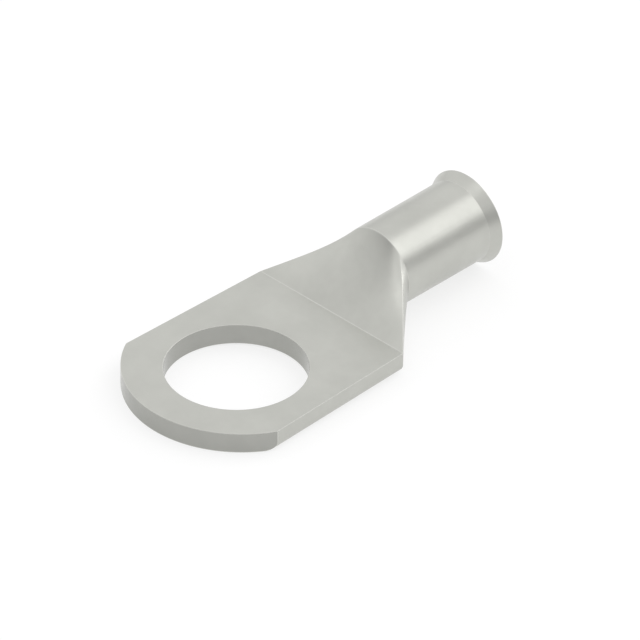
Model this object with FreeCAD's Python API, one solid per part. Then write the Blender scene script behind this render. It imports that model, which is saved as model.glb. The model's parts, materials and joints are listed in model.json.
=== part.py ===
import FreeCAD, Part
import math
import os

os.makedirs("parts", exist_ok=True)

# Ring terminal, pressed from one length of copper tube and tin plated: a flat palm
# with a stud hole, a transition, and a round barrel with a flared mouth.
# Sizes are in millimetres and angles in degrees. The origin is the centre of the
# stud hole on the palm's underside. +X runs towards the mouth, and +Z is up.

# Tube
barrel_outer_diameter = 7.9
tube_wall = 1.0

# Palm: both walls of the tube, pressed flat on each other
stud_hole_diameter = 13.0
palm_end_distance = 11.95      # from the hole's centre to the line where the palm ends
palm_end_width = 17.9
palm_side_taper = 2.03         # each side opens by this much towards the nose
nose_corner_distance = 4.3     # from the hole's centre to where the sides meet the nose
nose_tip_distance = 10.07
lower_edge_radius = 0.75       # along the two long lower edges

# Transition: the palm's flat section grows into the tube's round one
transition_length = 5.75
ridge_angle = 45.0             # where the ridges run out on the barrel, from its top
ridge_rise_lag = 0.235         # how far the ridges trail the rest in height
ridge_inward_lag = 0.065       # how far they trail it in width
crown_rise_lag = 0.06          # how far the crown trails in height
side_inward_lead = 0.05        # how far the sides run ahead in width
catch_up_power = 5             # how late in the length all of these close
lower_corner_spread = 22.5     # half of the arc that a lower edge's rounding grows into
seam_setback = 0.25            # from the palm's end to where the two walls part inside
outer_section_count = 7
cavity_section_count = 6

# Barrel and mouth
barrel_length = 10.12
mouth_length = 1.1
mouth_outer_diameter = 9.0

palm_thickness = 2 * tube_wall
palm_end_half_width = palm_end_width / 2
side_slope = math.tan(math.radians(palm_side_taper))
barrel_radius = barrel_outer_diameter / 2
bore_radius = barrel_radius - tube_wall
mouth_radius = mouth_outer_diameter / 2
barrel_start = palm_end_distance + transition_length
mouth_start = barrel_start + barrel_length
mouth_end = mouth_start + mouth_length


def closed_section(x, points):
    """A wire across the terminal. The points are an edge's end and its middle by turns."""
    flatness = 1e-9
    vectors = [FreeCAD.Vector(x, y, z) for y, z in points]
    edges = []
    for index in range(0, len(vectors), 2):
        start, middle = vectors[index], vectors[index + 1]
        end = vectors[(index + 2) % len(vectors)]
        bulge = (middle - start).cross(end - start).Length
        if bulge < flatness:
            edges.append(Part.LineSegment(start, end).toShape())
        else:
            edges.append(Part.Arc(start, middle, end).toShape())
    return Part.Wire(edges)


def mirrored(right_half):
    """Both halves of a section, from its right half listed from the top down."""
    left_half = [(-y, z) for y, z in reversed(right_half[1:-1])]
    return right_half[1:] + left_half + right_half[:1]


def palm_outline(half_width):
    """Right half of the palm's section: flat, with its lower edge rounded."""
    edge_centre = half_width - lower_edge_radius
    diagonal = lower_edge_radius * math.sqrt(0.5)
    return [
        (0, palm_thickness),
        (half_width, palm_thickness),
        (half_width, (palm_thickness + lower_edge_radius) / 2),
        (half_width, lower_edge_radius),
        (edge_centre + diagonal, lower_edge_radius - diagonal),
        (edge_centre, 0),
        (0, 0),
    ]


def round_outline(radius, angles):
    """Right half of the tube's section, at angles that are counted from its top."""
    points = []
    for angle in angles:
        turn = math.radians(angle)
        points.append((radius * math.sin(turn), barrel_radius + radius * math.cos(turn)))
    return points


def trailing(share, lag):
    return share - lag * (share - share ** catch_up_power)


def blended_section(share, flat_points, round_points, lags):
    """The section at a share of the way from the palm to the barrel.

    Each point of the outlines has its own lags inward and upward."""
    points = []
    for flat, circle, (inward_lag, rise_lag) in zip(flat_points, round_points, lags):
        inward = trailing(share, inward_lag)
        rise = trailing(share, rise_lag)
        points.append((
            flat[0] + inward * (circle[0] - flat[0]),
            flat[1] + rise * (circle[1] - flat[1]),
        ))
    x = palm_end_distance + share * transition_length
    return closed_section(x, mirrored(points))


def make_palm():
    """The flat end. The side's section runs along the taper, so each side is a slanted prism."""
    run = palm_end_distance + nose_tip_distance + palm_end_width
    spread = side_slope * run
    wide_half = palm_end_half_width + 2 * spread
    wide_section = Part.Face(closed_section(palm_end_distance, mirrored(palm_outline(wide_half))))
    wide_section.translate(FreeCAD.Vector(0, palm_end_half_width - wide_half, 0))
    left_prism = wide_section.extrude(FreeCAD.Vector(-run, spread, 0))
    right_prism = left_prism.mirror(FreeCAD.Vector(0, 0, 0), FreeCAD.Vector(0, 1, 0))

    corner_x = -nose_corner_distance
    corner_y = palm_end_half_width + side_slope * (palm_end_distance + nose_corner_distance)
    left_corner = FreeCAD.Vector(corner_x, corner_y, 0)
    right_corner = FreeCAD.Vector(corner_x, -corner_y, 0)
    tip = FreeCAD.Vector(-nose_tip_distance, 0, 0)
    far_x = palm_end_distance + palm_end_width
    far_left = FreeCAD.Vector(far_x, corner_y, 0)
    far_right = FreeCAD.Vector(far_x, -corner_y, 0)
    plan = Part.Wire([
        Part.Arc(left_corner, tip, right_corner).toShape(),
        Part.LineSegment(right_corner, far_right).toShape(),
        Part.LineSegment(far_right, far_left).toShape(),
        Part.LineSegment(far_left, left_corner).toShape(),
    ])
    plan_prism = Part.Face(plan).extrude(FreeCAD.Vector(0, 0, palm_thickness))
    blank = left_prism.common(right_prism).common(plan_prism)

    stud_hole = Part.makeCylinder(stud_hole_diameter / 2, palm_thickness)
    return blank.cut(stud_hole)


def make_transition():
    crown_lags = (0, crown_rise_lag)
    ridge_lags = (ridge_inward_lag, ridge_rise_lag)
    side_lags = (-side_inward_lead, 0)
    no_lags = (0, 0)
    lower_corner = 180 - ridge_angle
    corner_start = lower_corner - lower_corner_spread
    corner_end = lower_corner + lower_corner_spread
    side_middle = (ridge_angle + corner_start) / 2
    outer_flat = palm_outline(palm_end_half_width)
    outer_round = round_outline(
        barrel_radius,
        [0, ridge_angle, side_middle, corner_start, lower_corner, corner_end, 180])
    outer_lags = [crown_lags, ridge_lags, side_lags, side_lags, side_lags, no_lags, no_lags]
    last = outer_section_count - 1
    outer_sections = [
        blended_section(step / last, outer_flat, outer_round, outer_lags)
        for step in range(outer_section_count)
    ]
    body = Part.makeLoft(outer_sections, True, False)

    slit_half_width = palm_end_half_width - tube_wall
    slit = [(0, tube_wall)] + [(slit_half_width, tube_wall)] * 3 + [(0, tube_wall)]
    bore_outline = round_outline(bore_radius, [0, ridge_angle, 90, lower_corner, 180])
    cavity_lags = [crown_lags, ridge_lags, side_lags, side_lags, no_lags]
    first_share = seam_setback / transition_length
    last = cavity_section_count - 1
    cavity_sections = [
        blended_section(
            first_share + (1 - first_share) * step / last, slit, bore_outline, cavity_lags)
        for step in range(cavity_section_count)
    ]
    cavity = Part.makeLoft(cavity_sections, True, False)
    return body.cut(cavity)


def make_barrel():
    wall_section = Part.makePolygon([
        FreeCAD.Vector(barrel_start, 0, barrel_radius + bore_radius),
        FreeCAD.Vector(barrel_start, 0, barrel_radius + barrel_radius),
        FreeCAD.Vector(mouth_start, 0, barrel_radius + barrel_radius),
        FreeCAD.Vector(mouth_end, 0, barrel_radius + mouth_radius),
        FreeCAD.Vector(mouth_end, 0, barrel_radius + mouth_radius - tube_wall),
        FreeCAD.Vector(mouth_start, 0, barrel_radius + bore_radius),
        FreeCAD.Vector(barrel_start, 0, barrel_radius + bore_radius),
    ])
    axis_point = FreeCAD.Vector(barrel_start, 0, barrel_radius)
    return Part.Face(wall_section).revolve(axis_point, FreeCAD.Vector(1, 0, 0), 360)


terminal = make_palm().fuse([make_transition(), make_barrel()]).removeSplitter()
terminal.exportStep("parts/ring_terminal.step")

print("solids", len(terminal.Solids), "valid", terminal.isValid())
print("volume in cubic mm", round(terminal.Volume, 2))
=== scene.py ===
import json
import math

import bmesh
import bpy
from mathutils import Matrix, Vector


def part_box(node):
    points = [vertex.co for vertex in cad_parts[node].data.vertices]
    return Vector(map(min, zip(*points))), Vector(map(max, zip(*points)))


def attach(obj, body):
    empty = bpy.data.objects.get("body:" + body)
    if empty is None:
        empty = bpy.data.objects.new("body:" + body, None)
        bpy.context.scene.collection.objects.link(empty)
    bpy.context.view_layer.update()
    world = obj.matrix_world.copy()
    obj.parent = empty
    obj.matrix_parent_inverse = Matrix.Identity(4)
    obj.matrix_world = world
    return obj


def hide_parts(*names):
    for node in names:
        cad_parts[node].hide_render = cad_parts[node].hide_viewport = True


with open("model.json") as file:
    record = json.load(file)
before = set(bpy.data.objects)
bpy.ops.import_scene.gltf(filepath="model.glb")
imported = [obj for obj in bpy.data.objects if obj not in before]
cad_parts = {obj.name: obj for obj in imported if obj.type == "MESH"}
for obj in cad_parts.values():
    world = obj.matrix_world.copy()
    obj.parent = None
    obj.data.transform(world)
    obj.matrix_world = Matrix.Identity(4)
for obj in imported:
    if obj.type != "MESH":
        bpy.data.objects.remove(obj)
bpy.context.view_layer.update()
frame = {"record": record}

# Ring terminal, as the tube that it is pressed from. It is one length of tinned copper tube,
# round at the mouth and squeezed flat at the palm, so one skin runs over the outside, round
# the mouth's rim and back down the bore to where the walls meet.
MM = 0.001
low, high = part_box("ring_terminal")
mounts = {mount["name"]: mount for mount in frame["record"]["mounts"]}
palm_thickness = mounts["stud_hole"]["dims"]["length_mm"] * MM
bore_radius = mounts["barrel_bore"]["dims"]["r_mm"] * MM
barrel_length = mounts["barrel_bore"]["dims"]["length_mm"] * MM
tube_wall = palm_thickness / 2
tube_radius = bore_radius + tube_wall
mouth_radius = 4.5 * MM
mouth_length = 1.1 * MM
mouth_end = high.x
mouth_start = mouth_end - mouth_length
barrel_start = mouth_start - barrel_length
transition_length = 5.75 * MM
palm_end = barrel_start - transition_length
palm_half_width = 8.95 * MM
palm_side_slope = math.tan(math.radians(2.03))
lower_edge_radius = 0.75 * MM
seam_setback = 0.25 * MM

# How far each sharp edge is broken, and the most of a face's width that a break may take
edge_break = 0.05 * MM
crease_break = 0.1 * MM
rim_break = 0.05 * MM
largest_break_share = 0.2

# How the palm's flat outline grows into the round one. Angles are counted from the tube's
# top, and a lag is how far a place trails the rest on its way inward or upward.
ridge_angle = 45.0
lower_corner_spread = 22.5
ridge_rise_lag = 0.235
ridge_inward_lag = 0.065
crown_rise_lag = 0.06
side_inward_lead = 0.05
catch_up_power = 5.0

# Faces from the section's crown down to its underside, and rows of them along the tube
top_columns = 20
ridge_columns = 6
side_columns = 30
corner_columns = 20
bottom_columns = 10
half_columns = top_columns + ridge_columns + side_columns + corner_columns + bottom_columns
crease_rows = 5
transition_rows = 61
cavity_rows = 49
weld_distance = 0.001 * MM

NUMBER = "NodeSocketFloat"
PLACE = "NodeSocketVector"
GEOMETRY = "NodeSocketGeometry"


class Flow:
    """A number or a place on its way through a node tree, so that a rule reads as sums."""

    def __init__(self, socket):
        self.socket = socket

    def __add__(self, other):
        return worked_out("ADD", self, other)

    def __sub__(self, other):
        return worked_out("SUBTRACT", self, other)

    def __rsub__(self, other):
        return worked_out("SUBTRACT", other, self)

    def __mul__(self, other):
        return worked_out("MULTIPLY", self, other)

    def __truediv__(self, other):
        return worked_out("DIVIDE", self, other)


def is_place(value):
    return value.socket.type == "VECTOR" if isinstance(value, Flow) else isinstance(value, tuple)


def feed(tree, socket, value):
    if isinstance(value, Flow):
        tree.links.new(value.socket, socket)
    else:
        socket.default_value = value


def worked_out(operation, *values, gives=0):
    """One sum as a node. A place may be multiplied by a place or by a number."""
    tree = next(value for value in values if isinstance(value, Flow)).socket.id_data
    if not any(is_place(value) for value in values):
        node = tree.nodes.new("ShaderNodeMath")
        node.operation = operation
        sockets = node.inputs[:len(values)]
    elif operation == "MULTIPLY" and not is_place(values[1]):
        node = tree.nodes.new("ShaderNodeVectorMath")
        node.operation = "SCALE"
        sockets = [node.inputs[0], node.inputs["Scale"]]
    else:
        node = tree.nodes.new("ShaderNodeVectorMath")
        node.operation = operation
        sockets = node.inputs[:len(values)]
    for socket, value in zip(sockets, values):
        feed(tree, socket, value)
    return Flow(node.outputs[gives])


def place_of(tree, x, y, z):
    node = tree.nodes.new("ShaderNodeCombineXYZ")
    for socket, value in zip(node.inputs, (x, y, z)):
        feed(tree, socket, value)
    return Flow(node.outputs[0])


def parts_of(place):
    tree = place.socket.id_data
    node = tree.nodes.new("ShaderNodeSeparateXYZ")
    tree.links.new(place.socket, node.inputs[0])
    return [Flow(socket) for socket in node.outputs]


def either(test_number, limit, up_to, beyond):
    """One place for numbers up to a limit, and another beyond it."""
    tree = test_number.socket.id_data
    compare = tree.nodes.new("FunctionNodeCompare")
    compare.operation = "GREATER_THAN"
    feed(tree, compare.inputs[0], test_number)
    compare.inputs[1].default_value = limit
    switch = tree.nodes.new("GeometryNodeSwitch")
    switch.input_type = "VECTOR"
    tree.links.new(compare.outputs[0], switch.inputs["Switch"])
    feed(tree, switch.inputs["False"], up_to)
    feed(tree, switch.inputs["True"], beyond)
    return Flow(switch.outputs[0])


def rule_group(name, entries, rule):
    """A node group with named entries, whose result is the place that the rule works out."""
    tree = bpy.data.node_groups.new(name, "GeometryNodeTree")
    for entry, kind in entries:
        tree.interface.new_socket(name=entry, in_out="INPUT", socket_type=kind)
    tree.interface.new_socket(name="Place", in_out="OUTPUT", socket_type=PLACE)
    inlet = tree.nodes.new("NodeGroupInput")
    outlet = tree.nodes.new("NodeGroupOutput")
    flows = [Flow(socket) for socket in inlet.outputs[:len(entries)]]
    tree.links.new(rule(tree, *flows).socket, outlet.inputs[0])
    return tree


def by_rule(tree, group, *values):
    node = tree.nodes.new("GeometryNodeGroup")
    node.node_tree = group
    for socket, value in zip(node.inputs, values):
        feed(tree, socket, value)
    return Flow(node.outputs[0])


def arc_rule(tree, start, middle, end, along):
    """A place on the arc through three places, as a weighted curve with one control place."""
    to_start = start - middle
    to_end = end - middle
    turn = parts_of(worked_out("CROSS_PRODUCT", to_start, to_end))[0]
    bend = turn / (worked_out("DOT_PRODUCT", to_start, to_end, gives="Value") * -1.0)
    weight = worked_out("INVERSE_SQRT", bend * bend + 1.0)
    outward = worked_out("CROSS_PRODUCT", (1.0, 0.0, 0.0), end - start)
    control = (start + end) * 0.5 + outward * (bend * 0.5)
    rest = 1.0 - along
    near = rest * rest
    pull = rest * along * 2.0 * weight
    far = along * along
    total = start * near + control * pull + end * far
    return total * worked_out("DIVIDE", 1.0, near + pull + far)


def rounding_rule(tree, start, corner, end, along):
    """A place on the small curve that takes the sharpness off a corner."""
    rest = 1.0 - along
    return start * (rest * rest) + corner * (rest * along * 2.0) + end * (along * along)


def outline_rule(tree, share, flat, on_tube, inward_lag, rise_lag):
    """Where a place on the palm's outline has got to on its way to the tube's outline."""
    late = share - worked_out("POWER", share, catch_up_power)
    growth = place_of(tree, 0.0, share - inward_lag * late, share - rise_lag * late)
    return flat + (on_tube - flat) * growth


arc_group = rule_group("Arc through three places", [
    ("Start", PLACE),
    ("Middle", PLACE),
    ("End", PLACE),
    ("Along", NUMBER),
], arc_rule)
rounding_group = rule_group("Rounded corner", [
    ("Start", PLACE),
    ("Corner", PLACE),
    ("End", PLACE),
    ("Along", NUMBER),
], rounding_rule)
outline_group = rule_group("Outline place on its way", [
    ("Share", NUMBER),
    ("Flat", PLACE),
    ("On tube", PLACE),
    ("Inward lag", NUMBER),
    ("Rise lag", NUMBER),
], outline_rule)


def section_rule(tree, column, share, inset, wall, radius, half_width, thickness, rounding, edge):
    """Right half of the section across the tube, from its crown down to its underside.

    The inset is nothing on the outside, and one wall on the inside."""
    pinch = inset / wall
    skin_radius = radius - inset

    def grown(angle, flat_y, flat_z, inward_lag, rise_lag):
        turn = math.radians(angle)
        flat = place_of(tree, 0.0, flat_y, (wall - flat_z) * pinch + flat_z)
        across = skin_radius * math.sin(turn)
        on_tube = place_of(tree, 0.0, across, radius + skin_radius * math.cos(turn))
        return by_rule(tree, outline_group, share, flat, on_tube, inward_lag, rise_lag)

    edge_y = half_width - inset
    edge_middle = (thickness + rounding) * 0.5
    diagonal = rounding * math.sqrt(0.5)
    corner_y = edge_y - rounding
    lower_corner = 180.0 - ridge_angle
    first_corner = lower_corner - lower_corner_spread
    last_corner = lower_corner + lower_corner_spread
    side_lag = -side_inward_lead
    crown = grown(0.0, 0.0, thickness, 0.0, crown_rise_lag)
    ridge = grown(ridge_angle, edge_y, thickness, ridge_inward_lag, ridge_rise_lag)
    side = grown((ridge_angle + first_corner) / 2, edge_y, edge_middle, side_lag, 0.0)
    corner_start = grown(first_corner, edge_y, rounding, side_lag, 0.0)
    corner = grown(lower_corner, corner_y + diagonal, rounding - diagonal, side_lag, 0.0)
    corner_end = grown(last_corner, corner_y, 0.0, 0.0, 0.0)
    underside = grown(180.0, 0.0, 0.0, 0.0, 0.0)
    mirror = (1.0, -1.0, 1.0)

    cut = edge * (skin_radius / radius)
    top_chord = worked_out("DISTANCE", ridge * mirror, ridge, gives="Value")
    side_chord = worked_out("DISTANCE", ridge, corner_start, gives="Value")
    top_cut = worked_out("MINIMUM", cut / top_chord, largest_break_share)
    side_cut = worked_out("MINIMUM", cut / side_chord, largest_break_share)

    def reached(first, count):
        share_of_columns = (column - float(first)) / float(count)
        return worked_out("MAXIMUM", worked_out("MINIMUM", share_of_columns, 1.0), 0.0)

    def top_at(along):
        return by_rule(tree, arc_group, ridge * mirror, crown, ridge, along)

    def side_at(along):
        return by_rule(tree, arc_group, ridge, side, corner_start, along)

    first = 0
    result = top_at(reached(first, top_columns) * (0.5 - top_cut) + 0.5)
    first += top_columns
    ridge_line = by_rule(
        tree, rounding_group, top_at(1.0 - top_cut), ridge, side_at(side_cut),
        reached(first, ridge_columns))
    result = either(column, first + 0.5, result, ridge_line)
    first += ridge_columns
    flank = side_at(reached(first, side_columns) * (1.0 - side_cut) + side_cut)
    result = either(column, first + 0.5, result, flank)
    first += side_columns
    lower_edge = by_rule(
        tree, arc_group, corner_start, corner, corner_end, reached(first, corner_columns))
    result = either(column, first + 0.5, result, lower_edge)
    first += corner_columns
    bottom = by_rule(
        tree, arc_group, corner_end, underside, corner_end * mirror,
        reached(first, bottom_columns) * 0.5)
    return either(column, first + 0.5, result, bottom)


section_group = rule_group("Section across the tube", [
    ("Column", NUMBER),
    ("Share", NUMBER),
    ("Inset", NUMBER),
    ("Wall", NUMBER),
    ("Tube radius", NUMBER),
    ("Palm half width", NUMBER),
    ("Palm thickness", NUMBER),
    ("Lower edge radius", NUMBER),
    ("Edge break", NUMBER),
], section_rule)

skin_sizes = {
    "Tube radius": tube_radius,
    "Tube wall": tube_wall,
    "Palm half width": palm_half_width,
    "Palm thickness": palm_thickness,
    "Palm side slope": palm_side_slope,
    "Lower edge radius": lower_edge_radius,
    "Edge break": edge_break,
    "Palm end": palm_end,
    "Transition length": transition_length,
    "Seam setback": seam_setback,
}


def rounded_profile(tree, profile, along):
    """The wall's profile with its corners broken: a place for each row, and the count of rows."""
    to_curve = tree.nodes.new("GeometryNodeMeshToCurve")
    tree.links.new(profile, to_curve.inputs["Mesh"])
    fillet = tree.nodes.new("GeometryNodeFilletCurve")
    fillet.mode = "POLY"
    tree.links.new(to_curve.outputs["Curve"], fillet.inputs["Curve"])
    break_here = tree.nodes.new("GeometryNodeInputNamedAttribute")
    break_here.data_type = "FLOAT"
    break_here.inputs["Name"].default_value = "break"
    tree.links.new(break_here.outputs["Attribute"], fillet.inputs["Radius"])
    fillet.inputs["Count"].default_value = crease_rows - 1
    count = tree.nodes.new("GeometryNodeAttributeDomainSize")
    count.component = "CURVE"
    tree.links.new(fillet.outputs["Curve"], count.inputs["Geometry"])
    row_count = Flow(count.outputs["Point Count"])
    row = tree.nodes.new("GeometryNodeSampleIndex")
    row.data_type = "FLOAT_VECTOR"
    row.domain = "POINT"
    tree.links.new(fillet.outputs["Curve"], row.inputs["Geometry"])
    feed(tree, row.inputs["Value"], Flow(tree.nodes.new("GeometryNodeInputPosition").outputs[0]))
    feed(tree, row.inputs["Index"], worked_out("ROUND", along * (row_count - 1.0)))
    return Flow(row.outputs["Value"]), row_count


def marked(tree, geometry, name):
    """The same faces, each with a 1 under a name."""
    mark = tree.nodes.new("GeometryNodeStoreNamedAttribute")
    mark.data_type = "FLOAT"
    mark.domain = "FACE"
    mark.inputs["Name"].default_value = name
    mark.inputs["Value"].default_value = 1.0
    tree.links.new(geometry, mark.inputs["Geometry"])
    return mark.outputs["Geometry"]


def make_skin_tree(finish):
    """Bands of skin, each a grid that the section's rule puts in place, welded to each other."""
    tree = bpy.data.node_groups.new("Tube skin", "GeometryNodeTree")
    tree.interface.new_socket(name="Wall profile", in_out="INPUT", socket_type=GEOMETRY)
    for name in skin_sizes:
        tree.interface.new_socket(name=name, in_out="INPUT", socket_type=NUMBER)
    tree.interface.new_socket(name="Skin", in_out="OUTPUT", socket_type=GEOMETRY)
    inlet = tree.nodes.new("NodeGroupInput")
    outlet = tree.nodes.new("NodeGroupOutput")
    size = {name: Flow(inlet.outputs[name]) for name in skin_sizes}

    grid_place = Flow(tree.nodes.new("GeometryNodeInputPosition").outputs[0])
    grid_x, grid_y, _ = parts_of(grid_place)
    along = grid_x + 0.5
    signed_column = worked_out("ROUND", grid_y * (2.0 * half_columns))
    column = worked_out("ABSOLUTE", signed_column)
    handed = place_of(tree, 1.0, worked_out("SIGN", signed_column), 1.0)

    def section(share, inset):
        return handed * by_rule(
            tree, section_group, column, share, inset, size["Tube wall"], size["Tube radius"],
            size["Palm half width"], size["Palm thickness"], size["Lower edge radius"],
            size["Edge break"])

    def standing(share, inset):
        x = size["Palm end"] + size["Transition length"] * share
        return section(share, inset) + place_of(tree, x, 0.0, 0.0)

    def band(rows, place):
        grid = tree.nodes.new("GeometryNodeMeshGrid")
        feed(tree, grid.inputs["Vertices X"], rows)
        grid.inputs["Vertices Y"].default_value = 2 * half_columns + 1
        grid.inputs["Size X"].default_value = 1.0
        grid.inputs["Size Y"].default_value = 1.0
        moved = tree.nodes.new("GeometryNodeSetPosition")
        tree.links.new(grid.outputs["Mesh"], moved.inputs["Geometry"])
        feed(tree, moved.inputs["Position"], place)
        return moved.outputs["Geometry"]

    outside = 0.0
    inside = size["Tube wall"]
    step = size["Edge break"] / size["Transition length"]

    widening = size["Palm side slope"] * size["Edge break"] / size["Palm half width"]
    at_palm_end = standing(0.0, outside)
    palm_side = at_palm_end * place_of(tree, 1.0, widening + 1.0, 1.0) - place_of(
        tree, size["Edge break"], 0.0, 0.0)
    bands = [
        band(crease_rows, by_rule(
            tree, rounding_group, palm_side, at_palm_end, standing(step, outside), along)),
        band(transition_rows, standing(step + along * (1.0 - step * 2.0), outside)),
    ]

    at_tube = standing(1.0, outside)
    tube_side = at_tube + place_of(tree, size["Edge break"], 0.0, 0.0)
    bands.append(band(crease_rows, by_rule(
        tree, rounding_group, standing(1.0 - step, outside), at_tube, tube_side, along)))

    profile_place, row_count = rounded_profile(tree, inlet.outputs["Wall profile"], along)
    profile_x, _, profile_radius = parts_of(profile_place)
    axis = place_of(tree, 0.0, 0.0, size["Tube radius"])
    spoke = section(1.0, outside) - axis
    bands.append(band(
        row_count,
        axis + spoke * (profile_radius / size["Tube radius"]) + place_of(tree, profile_x, 0.0, 0.0)))

    seam_share = size["Seam setback"] / size["Transition length"]
    cavity_skin = band(cavity_rows, standing(1.0 - along * (1.0 - seam_share), inside))
    bands.append(marked(tree, cavity_skin, "cavity"))

    joined = tree.nodes.new("GeometryNodeJoinGeometry")
    for skin_band in reversed(bands):
        tree.links.new(skin_band, joined.inputs[0])
    weld = tree.nodes.new("GeometryNodeMergeByDistance")
    tree.links.new(joined.outputs[0], weld.inputs["Geometry"])
    weld.inputs["Distance"].default_value = weld_distance
    realize = tree.nodes.new("GeometryNodeRealizeInstances")
    tree.links.new(weld.outputs[0], realize.inputs["Geometry"])
    dress = tree.nodes.new("GeometryNodeSetMaterial")
    dress.inputs["Material"].default_value = finish
    tree.links.new(realize.outputs[0], dress.inputs["Geometry"])
    tree.links.new(dress.outputs[0], outlet.inputs["Skin"])
    return tree


# Tin plate: satin, softly clouded and finely grained, over the faint lines of the drawn tube.
# Sheared faces are smoother, with upright lines and painted shade; tight bends get painted highlight.
light_tin = (0.565, 0.568, 0.532, 1.0)
dark_tin = (0.525, 0.528, 0.494, 1.0)
# Painted highlight: a lighter colour laid on the tight bends that are in sight
painted_highlight_tin = (0.585, 0.588, 0.553, 1.0)
smoothest_tin = 0.30
roughest_tin = 0.37
noise_dips = 0.3
noise_peaks = 0.7
pattern_start = (2.5, 8.5, 5.0)
cloud_detail = 3.0
cloud_length = 3.5 * MM
bloom_detail = 2.0
bloom_length = 0.6 * MM
grain_detail = 1.0
grain_length = 0.09 * MM
grain_depth = 0.0009 * MM
line_detail = 2.0
draw_line_length = 12.0 * MM
draw_line_width = 0.12 * MM
draw_line_depth = 0.0025 * MM
# Painted shade: the colour of the sheared nose and hole walls is multiplied darker by this
sheared_painted_shade = (0.72, 0.72, 0.72, 1.0)
sheared_burnish = -0.12
shear_line_width = 0.1 * MM
shear_line_height = 4.0 * MM
shear_line_depth = 0.0015 * MM

tin_plate = bpy.data.materials.new("tin_plate")
tin_plate.use_nodes = True
tin_nodes = tin_plate.node_tree.nodes
tin_links = tin_plate.node_tree.links
tin = tin_nodes["Principled BSDF"]
tin.inputs["Metallic"].default_value = 1.0
on_part = tin_nodes.new("ShaderNodeTexCoord").outputs["Object"]
shear_and_shade_here = tin_nodes.new("ShaderNodeAttribute")
shear_and_shade_here.attribute_name = "sheared_with_painted_shade"
painted_highlight_here = tin_nodes.new("ShaderNodeAttribute")
painted_highlight_here.attribute_name = "painted_highlight"


def tin_noise(detail, along, across, upward):
    """Unevenness of about these lengths along the tube, across it and upward."""
    mapping = tin_nodes.new("ShaderNodeMapping")
    tin_links.new(on_part, mapping.inputs["Vector"])
    mapping.inputs["Location"].default_value = pattern_start
    mapping.inputs["Scale"].default_value = (1.0 / along, 1.0 / across, 1.0 / upward)
    noise = tin_nodes.new("ShaderNodeTexNoise")
    tin_links.new(mapping.outputs["Vector"], noise.inputs["Vector"])
    noise.inputs["Scale"].default_value = 1.0
    noise.inputs["Detail"].default_value = detail
    return noise.outputs["Fac"]


def spread(noise, smallest, largest):
    """A noise from its dips to its peaks, spread over a range of our own."""
    span = tin_nodes.new("ShaderNodeMapRange")
    tin_links.new(noise, span.inputs["Value"])
    span.inputs["From Min"].default_value = noise_dips
    span.inputs["From Max"].default_value = noise_peaks
    span.inputs["To Min"].default_value = smallest
    span.inputs["To Max"].default_value = largest
    return span.outputs["Result"]


def coloured(factor, base, other, blend_type="MIX"):
    """A base colour, blended with another one where the factor says."""
    mix = tin_nodes.new("ShaderNodeMix")
    mix.data_type = "RGBA"
    mix.blend_type = blend_type
    tin_links.new(factor, mix.inputs["Factor"])
    if isinstance(base, tuple):
        mix.inputs["A"].default_value = base
    else:
        tin_links.new(base, mix.inputs["A"])
    mix.inputs["B"].default_value = other
    return mix.outputs["Result"]


clouds = tin_noise(cloud_detail, cloud_length, cloud_length, cloud_length)
clouded = coloured(spread(clouds, 0.0, 1.0), dark_tin, light_tin)
# Painted shade on the sheared faces
with_painted_shade = coloured(shear_and_shade_here.outputs["Fac"], clouded, sheared_painted_shade, "MULTIPLY")
# Painted highlight on the tight bends
with_painted_highlight = coloured(painted_highlight_here.outputs["Fac"], with_painted_shade, painted_highlight_tin)
tin_links.new(with_painted_highlight, tin.inputs["Base Color"])

burnished = tin_nodes.new("ShaderNodeMath")
burnished.operation = "MULTIPLY_ADD"
tin_links.new(shear_and_shade_here.outputs["Fac"], burnished.inputs[0])
burnished.inputs[1].default_value = sheared_burnish
bloom = tin_noise(bloom_detail, bloom_length, bloom_length, bloom_length)
tin_links.new(spread(bloom, smoothest_tin, roughest_tin), burnished.inputs[2])
tin_links.new(burnished.outputs["Value"], tin.inputs["Roughness"])

grain = tin_noise(grain_detail, grain_length, grain_length, grain_length)
draw_lines = tin_noise(line_detail, draw_line_length, draw_line_width, draw_line_width)
shear_lines = tin_noise(line_detail, shear_line_width, shear_line_width, shear_line_height)
relief = None
for height, depth in (
        (grain, grain_depth), (draw_lines, draw_line_depth), (shear_lines, shear_line_depth)):
    bump = tin_nodes.new("ShaderNodeBump")
    bump.inputs["Distance"].default_value = depth
    tin_links.new(height, bump.inputs["Height"])
    if relief:
        tin_links.new(relief, bump.inputs["Normal"])
    relief = bump.outputs["Normal"]
shear_bump = bump
tin_links.new(shear_and_shade_here.outputs["Fac"], shear_bump.inputs["Strength"])
tin_links.new(relief, tin.inputs["Normal"])

# The wall's profile from the barrel's start to the mouth and back down the bore, as a place
# along the tube, a radius, and how far the corner there is broken
profile = [
    (barrel_start + edge_break, tube_radius, 0.0),
    (mouth_start, tube_radius, crease_break),
    (mouth_end, mouth_radius, rim_break),
    (mouth_end, mouth_radius - tube_wall, rim_break),
    (mouth_start, bore_radius, crease_break),
    (barrel_start, bore_radius, 0.0),
]
profile_mesh = bpy.data.meshes.new("wall_profile")
profile_mesh.from_pydata(
    [(x, 0.0, radius) for x, radius, _ in profile], [(i, i + 1) for i in range(len(profile) - 1)], [])
profile_breaks = profile_mesh.attributes.new("break", "FLOAT", "POINT")
profile_breaks.data.foreach_set("value", [size for _, _, size in profile])
tube = bpy.data.objects.new("tube", profile_mesh)
bpy.context.collection.objects.link(tube)
press = tube.modifiers.new("Pressed tube", "NODES")
skin_tree = make_skin_tree(tin_plate)
press.node_group = skin_tree
for item in skin_tree.interface.items_tree:
    if item.item_type == "SOCKET" and item.in_out == "INPUT" and item.name in skin_sizes:
        press[item.identifier] = skin_sizes[item.name]
evaluated_tube = tube.evaluated_get(bpy.context.evaluated_depsgraph_get())
tube_skin = bpy.data.meshes.new_from_object(evaluated_tube)
bpy.data.objects.remove(tube)

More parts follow.
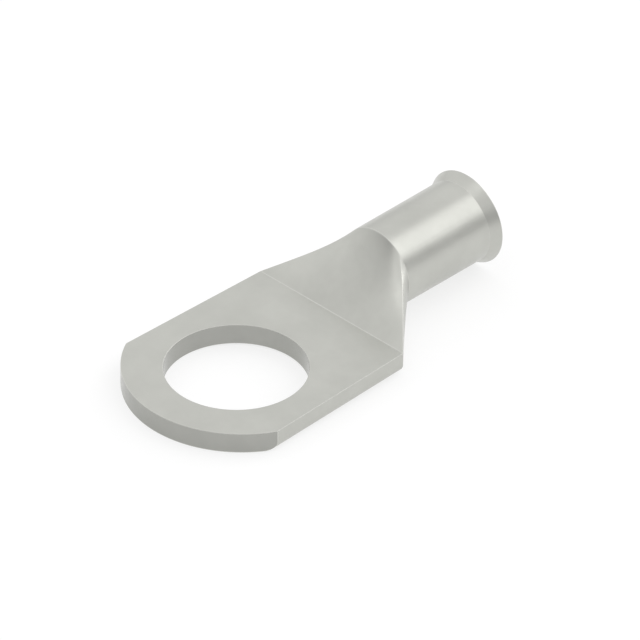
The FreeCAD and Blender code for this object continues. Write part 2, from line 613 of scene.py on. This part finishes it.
# Palm of the same piece: both walls of the tube pressed on each other, sheared to a round
# nose and punched for the stud. Its long lower edges keep the round of the press, and the
# sheared edges are only broken.
hole_radius = mounts["stud_hole"]["dims"]["r_mm"] * MM
nose_tip = low.x
nose_corner = -4.3 * MM
nose_corner_y = palm_half_width + palm_side_slope * (palm_end - nose_corner)
nose_depth = nose_corner - nose_tip
nose_radius = (nose_corner_y ** 2 + nose_depth ** 2) / (2 * nose_depth)
nose_centre = nose_tip + nose_radius
side_pieces = 12
corner_pieces = 4
nose_pieces = 44
hole_pieces = 180
break_pieces = 4
same = 1e-4 * MM
level_enough = 0.99999
tight_bend = 1.5 / MM


def softened(start, corner, end, along):
    rest = 1 - along
    return start * rest * rest + corner * 2 * rest * along + end * along * along


def palm_outline(level, ring_x, ring_half_width):
    """One side of the palm's outline at the height of a place on the tube's end, from
    that place to the nose's tip."""
    if level.z > palm_thickness - edge_break:
        nose_inset = ring_half_width - level.y
    else:
        nose_inset = edge_break * (1 - math.sqrt(min(level.z / edge_break, 1.0))) ** 2
    radius = nose_radius - nose_inset
    reach = level.y + palm_side_slope * ring_x
    a = 1 + palm_side_slope ** 2
    b = nose_centre + palm_side_slope * reach
    c = nose_centre ** 2 + reach ** 2 - radius ** 2
    corner_x = (b - math.sqrt(b * b - a * c)) / a
    corner = Vector((corner_x, reach - palm_side_slope * corner_x, level.z))
    side_end = corner + Vector((edge_break, -palm_side_slope * edge_break, 0))
    first_turn = math.atan2(corner.y, corner.x - nose_centre) + edge_break / radius
    nose_start = Vector((
        nose_centre + radius * math.cos(first_turn), radius * math.sin(first_turn), level.z))
    places = [level.lerp(side_end, i / side_pieces) for i in range(1, side_pieces + 1)]
    places += [
        softened(side_end, corner, nose_start, i / corner_pieces)
        for i in range(1, corner_pieces + 1)]
    for i in range(1, nose_pieces + 1):
        turn = first_turn + (math.pi - first_turn) * i / nose_pieces
        places.append(Vector((
            nose_centre + radius * math.cos(turn), radius * math.sin(turn), level.z)))
    return places


def faces_between(bm, first, second, closed=False):
    """A strip of faces between two rows of vertices."""
    count = len(first)
    for i in range(count if closed else count - 1):
        j = (i + 1) % count
        corners = []
        for vertex in (first[i], first[j], second[j], second[i]):
            if vertex not in corners:
                corners.append(vertex)
        if len(corners) > 2:
            bm.faces.new(corners)


bm = bmesh.new()
bm.from_mesh(tube_skin)
sheared_with_painted_shade = bm.faces.layers.float.new("sheared_with_painted_shade")
painted_highlight = bm.faces.layers.float.new("painted_highlight")
cavity = bm.faces.layers.float["cavity"]

# The cavity closes as a wedge, with its edge where the palm ends
seam = [edge for edge in bm.edges if edge.is_boundary and edge.verts[0].co.x > palm_end]
seam_face = bmesh.ops.holes_fill(bm, edges=seam, sides=0)["faces"]
wedge = bmesh.ops.poke(bm, faces=seam_face)
for vertex in wedge["verts"]:
    vertex.co.x = palm_end
for face in wedge["faces"]:
    face[cavity] = 1.0

ring = [vertex for vertex in bm.verts if vertex.is_boundary]
ring_x = sum(vertex.co.x for vertex in ring) / len(ring)
ring_half_width = max(vertex.co.y for vertex in ring)


def ring_wall(hand):
    """The places on the tube's end from its top edge down to its underside, on one hand."""
    mine = [vertex for vertex in ring if vertex.co.y * hand > 0]
    on_top = [vertex for vertex in mine if vertex.co.z > palm_thickness - same]
    below = [vertex for vertex in mine if vertex.co.z < same]
    between = [vertex for vertex in mine if same <= vertex.co.z <= palm_thickness - same]
    between.sort(key=lambda vertex: -vertex.co.z)
    widest = max(on_top, key=lambda vertex: abs(vertex.co.y))
    lowest = max(below, key=lambda vertex: abs(vertex.co.y))
    return [widest] + between + [lowest]


rows = []
for left_vertex, right_vertex in zip(ring_wall(1), ring_wall(-1)):
    half = palm_outline(left_vertex.co, ring_x, ring_half_width)
    row = [left_vertex] + [bm.verts.new(place) for place in half]
    row += [bm.verts.new((place.x, -place.y, place.z)) for place in reversed(half[:-1])]
    rows.append(row + [right_vertex])
for first, second in zip(rows, rows[1:]):
    faces_between(bm, first, second)

break_steps = [i / break_pieces for i in range(break_pieces + 1)]
hole_profile = [(edge_break * (1 - step) ** 2, edge_break * step ** 2) for step in break_steps]
hole_rows = [(hole_radius + out, up) for out, up in hole_profile]
hole_rows += [(hole_radius + out, palm_thickness - up) for out, up in reversed(hole_profile)]
circles = []
for radius, height in hole_rows:
    circles.append([
        bm.verts.new((radius * math.cos(turn), radius * math.sin(turn), height))
        for turn in (math.tau * i / hole_pieces for i in range(hole_pieces))])
for first, second in zip(circles, circles[1:]):
    faces_between(bm, first, second, closed=True)

bm.verts.index_update()
bm.edges.ensure_lookup_table()
for height, facing in ((palm_thickness, 1), (0.0, -1)):
    rim = [
        edge for edge in bm.edges if edge.is_boundary
        and all(abs(vertex.co.z - height) < same for vertex in edge.verts)]
    bmesh.ops.triangle_fill(bm, edges=rim, use_beauty=True, normal=(0, 0, facing))
bmesh.ops.recalc_face_normals(bm, faces=bm.faces)

# Marks: sheared nose and hole (smoother, painted shade), and tight bends in sight (painted highlight)
for face in bm.faces:
    face.material_index = 0
    place = face.calc_center_median()
    off_hole = math.hypot(place.x, place.y) - hole_radius
    off_nose = nose_radius - math.hypot(place.x - nose_centre, place.y)
    on_nose = place.x < nose_corner and off_nose < edge_break / 2
    # Sheared faces get painted shade, besides their smoother, lined finish
    face[sheared_with_painted_shade] = float(on_nose or off_hole < edge_break / 2)
    turning = sum(edge.calc_face_angle() * edge.calc_length() for edge in face.edges)
    bend = turning / (2 * face.calc_area())
    in_sight = not face[cavity] and abs(face.normal.z) < level_enough
    # Tight bends in sight get the painted highlight
    face[painted_highlight] = float(in_sight and bend > tight_bend)
terminal_mesh = bpy.data.meshes.new("terminal")
bm.to_mesh(terminal_mesh)
bm.free()
terminal_mesh.materials.append(tin_plate)
terminal_mesh.shade_smooth()

# Large faces lead the shading and the palm's level faces stay level, so broken edges look crisp
shading = [Vector() for vertex in terminal_mesh.vertices]
for face in terminal_mesh.polygons:
    for index in face.vertices:
        shading[index] += face.normal * face.area
for face in terminal_mesh.polygons:
    if abs(face.normal.z) > level_enough and face.center.x < palm_end:
        for index in face.vertices:
            shading[index] = Vector((0, 0, face.normal.z))
terminal_mesh.normals_split_custom_set_from_vertices([normal.normalized() for normal in shading])
terminal = bpy.data.objects.new("terminal", terminal_mesh)
bpy.context.collection.objects.link(terminal)
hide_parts("ring_terminal")
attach(terminal, "root")

# Floor: a plain pale sheet of paper that the terminal lies on. It touches the nose's lower
# edge and the lowest place of the mouth's rim, so it tips a little towards the mouth.
nose_foot = Vector((nose_tip, 0, 0))
rim_foot = Vector((mouth_end, 0, tube_radius - mouth_radius))
floor_half = 3.0
fall = (rim_foot.z - nose_foot.z) / (rim_foot.x - nose_foot.x)
paper_grey = (0.29, 0.29, 0.29, 1.0)
paper_white = (1.0, 1.0, 1.0, 1.0)
paper_roughness = 0.9
paper_glow = 0.73

floor_corners = [(-1, -1), (1, -1), (1, 1), (-1, 1)]
floor_mesh = bpy.data.meshes.new("floor")
floor_mesh.from_pydata([
    (x * floor_half, y * floor_half, nose_foot.z + fall * (x * floor_half - nose_foot.x))
    for x, y in floor_corners], [], [(0, 1, 2, 3)])
floor = bpy.data.objects.new("floor", floor_mesh)
bpy.context.collection.objects.link(floor)
paper = bpy.data.materials.new("white_paper")
paper.use_nodes = True
paper_nodes = paper.node_tree.nodes
paper_links = paper.node_tree.links
paper_shader = paper_nodes["Principled BSDF"]
paper_shader.inputs["Base Color"].default_value = paper_grey
paper_shader.inputs["Roughness"].default_value = paper_roughness
paper_shader.inputs["Specular IOR Level"].default_value = 0.0
paper_shader.inputs["Emission Color"].default_value = paper_white
ray = paper_nodes.new("ShaderNodeLightPath")
seen = None
for kind in ("Is Camera Ray", "Is Glossy Ray", "Is Transmission Ray"):
    add = paper_nodes.new("ShaderNodeMath")
    add.operation = "ADD"
    add.inputs[0].default_value = 0.0
    if seen:
        paper_links.new(seen, add.inputs[0])
    paper_links.new(ray.outputs[kind], add.inputs[1])
    seen = add.outputs[0]
glow = paper_nodes.new("ShaderNodeMath")
glow.operation = "MULTIPLY"
glow.use_clamp = True
paper_links.new(seen, glow.inputs[0])
glow.inputs[1].default_value = paper_glow
paper_links.new(glow.outputs[0], paper_shader.inputs["Emission Strength"])
floor_mesh.materials.append(paper)

# Light: a pale tent all round, with five soft windows in it. The brightest is low behind
# the barrel, and the one that draws the streak along the barrel is at its right. Each has
# the bearing and height of its middle and half its width, in degrees, and its strength.
tent_strength = 0.32
windows = [
    ("behind the barrel", 355, 10, 20, 2.2),
    ("right of the barrel", 330, 41, 20, 1.08),
    ("low at the right", 285, 10, 38, 0.3),
    ("high at the left", 85, 48, 48, 0.7),
    ("high at the right", 250, 62, 28, 0.58),
]
window_core = 0.4
window_fringe = 1.6

world = bpy.data.worlds.new("studio")
bpy.context.scene.world = world
world.use_nodes = True
sky_nodes = world.node_tree.nodes
sky_links = world.node_tree.links
towards = sky_nodes.new("ShaderNodeTexCoord").outputs["Generated"]
sky = None
for name, bearing, height, half_width, strength in windows:
    turn = math.radians(bearing)
    lift = math.radians(height)
    nearness = sky_nodes.new("ShaderNodeVectorMath")
    nearness.operation = "DOT_PRODUCT"
    nearness.label = name
    sky_links.new(towards, nearness.inputs[0])
    nearness.inputs[1].default_value = (
        math.cos(turn) * math.cos(lift), math.sin(turn) * math.cos(lift), math.sin(lift))
    window = sky_nodes.new("ShaderNodeMapRange")
    window.interpolation_type = "SMOOTHERSTEP"
    sky_links.new(nearness.outputs["Value"], window.inputs["Value"])
    window.inputs["From Min"].default_value = math.cos(math.radians(half_width * window_fringe))
    window.inputs["From Max"].default_value = math.cos(math.radians(half_width * window_core))
    window.inputs["To Max"].default_value = strength
    add = sky_nodes.new("ShaderNodeMath")
    add.operation = "ADD"
    add.inputs[0].default_value = tent_strength
    if sky:
        sky_links.new(sky, add.inputs[0])
    sky_links.new(window.outputs["Result"], add.inputs[1])
    sky = add.outputs[0]

# Below the horizon the tent is white, as the floor is
sides = sky_nodes.new("ShaderNodeSeparateXYZ")
sky_links.new(towards, sides.inputs[0])
below = sky_nodes.new("ShaderNodeMath")
below.operation = "LESS_THAN"
sky_links.new(sides.outputs["Z"], below.inputs[0])
below.inputs[1].default_value = 0.0
tent = sky_nodes.new("ShaderNodeMath")
tent.operation = "MAXIMUM"
sky_links.new(sky, tent.inputs[0])
sky_links.new(below.outputs["Value"], tent.inputs[1])
sky_links.new(tent.outputs["Value"], sky_nodes["Background"].inputs["Strength"])
sky_nodes["Background"].inputs["Color"].default_value = (1.0, 1.0, 1.0, 1.0)

# Camera: from over the nose's right corner, at equal slants to all three axes and with no
# perspective. It aims beside the middle of the stud hole, so that the whole terminal shows.
picture_pixels = 640
pixels_per_mm = 11.29
aim_right = 7.414 * MM
aim_up = 4.190 * MM
camera_distance = 0.3
camera_clip_start = 0.01

camera_back = Vector((-1, -1, 1)).normalized()
camera_right = Vector((1, -1, 0)).normalized()
camera_up = camera_back.cross(camera_right)
aim = Vector((0, 0, palm_thickness)) + camera_right * aim_right + camera_up * aim_up
camera_data = bpy.data.cameras.new("camera")
camera_data.type = "ORTHO"
camera_data.ortho_scale = picture_pixels / pixels_per_mm * MM
camera_data.clip_start = camera_clip_start
camera = bpy.data.objects.new("camera", camera_data)
bpy.context.collection.objects.link(camera)
camera.matrix_world = Matrix.Translation(aim + camera_back * camera_distance) @ Matrix((
    camera_right, camera_up, camera_back)).transposed().to_4x4()
bpy.context.scene.camera = camera
bpy.context.scene.view_settings.view_transform = "Standard"
